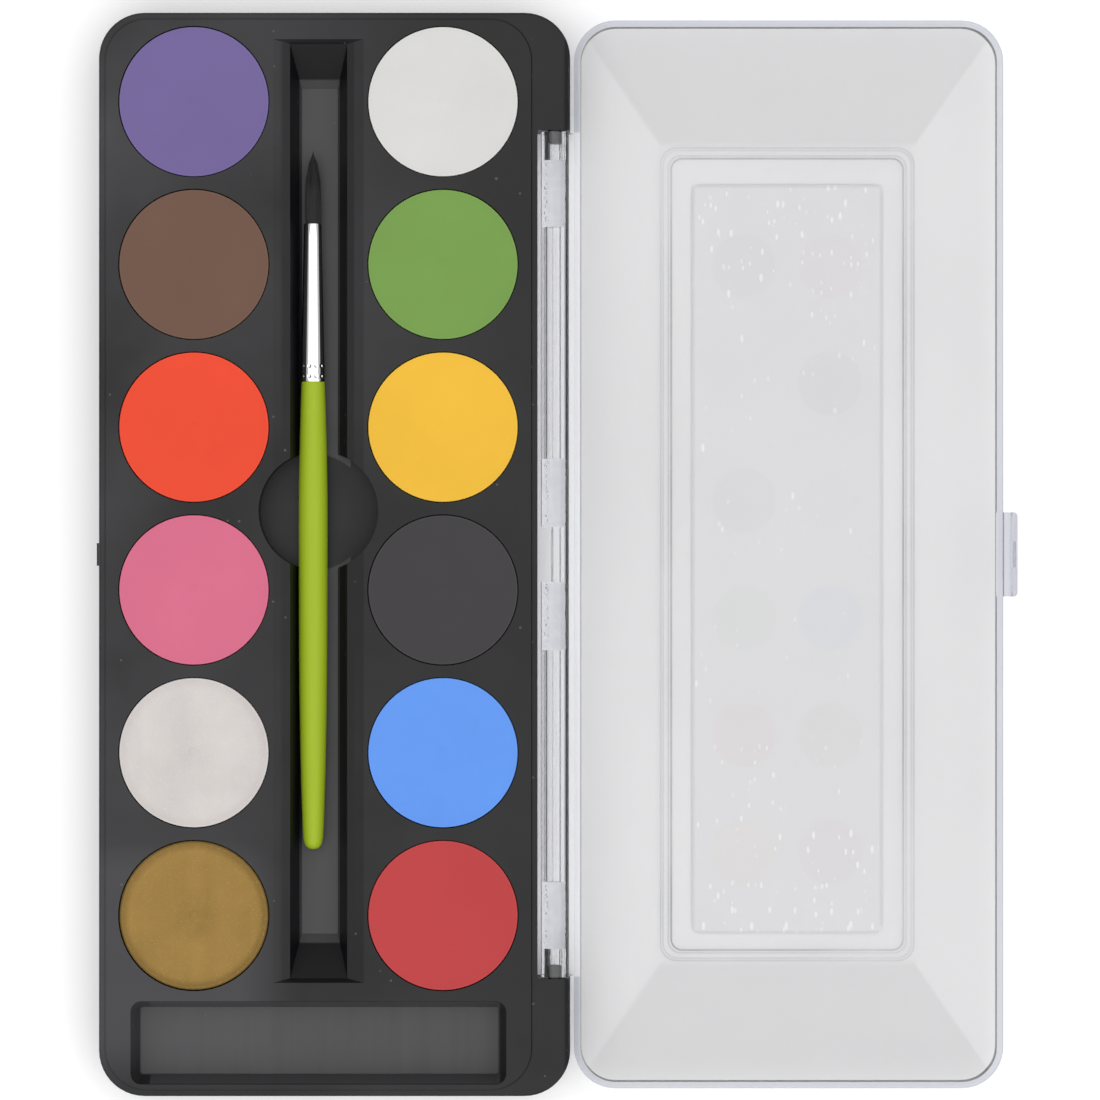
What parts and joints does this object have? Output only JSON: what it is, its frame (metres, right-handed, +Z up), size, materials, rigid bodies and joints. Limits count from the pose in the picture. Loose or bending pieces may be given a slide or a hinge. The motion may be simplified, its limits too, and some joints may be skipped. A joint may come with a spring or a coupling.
{
  "type": "face paint palette",
  "caption": "Flat black palette of round pressed paint cakes with a brush slot, a mixing tray and a clear hinged lid that folds right back.",
  "frame": {"origin": "on the table, below the hinge axis, halfway along the palette", "axes": "+X from the base to the folded-back lid, +Y along the palette towards the bristles, +Z up"},
  "size_m": [0.1868, 0.2198, 0.0142],
  "materials": {
    "base_black": "fine satin moulded black plastic",
    "lid_clear": "clear moulded styrene",
    "label_white": "white sticker",
    "handle_green": "green lacquer",
    "ferrule_metal": "bright nickel",
    "hair_black": "soft black hair",
    "cake_purple": "pressed matt paint",
    "cake_white": "pressed matt paint",
    "cake_brown": "pressed matt paint",
    "cake_green": "pressed matt paint",
    "cake_orange": "pressed matt paint",
    "cake_yellow": "pressed matt paint",
    "cake_pink": "pressed matt paint",
    "cake_black": "pressed matt paint",
    "cake_silver": "pressed matt paint",
    "cake_blue": "pressed matt paint",
    "cake_gold": "pressed matt paint",
    "cake_red": "pressed matt paint"
  },
  "bodies": {
    "base": {"base_tray": "base_black", "paint_purple": "cake_purple", "paint_white": "cake_white", "paint_brown": "cake_brown", "paint_green": "cake_green", "paint_orange": "cake_orange", "paint_yellow": "cake_yellow", "paint_pink": "cake_pink", "paint_black": "cake_black", "paint_silver": "cake_silver", "paint_blue": "cake_blue", "paint_gold": "cake_gold", "paint_red": "cake_red"},
    "lid": {"lid": "lid_clear", "lid_label": "label_white"},
    "brush": {"brush_handle": "handle_green", "brush_ferrule": "ferrule_metal", "brush_bristles": "hair_black"}
  },
  "joints": [
    {"name": "lid_hinge", "type": "hinge", "parent": "base", "child": "lid", "pos_m": [0, 0, 0.0108], "axis": [0, -1, 0], "range_deg": [0, 180]},
    {"name": "brush_lift", "type": "slide", "parent": "base", "child": "brush", "axis": [0, 0, 1], "range_m": [0, 0.0084]}
  ]
}
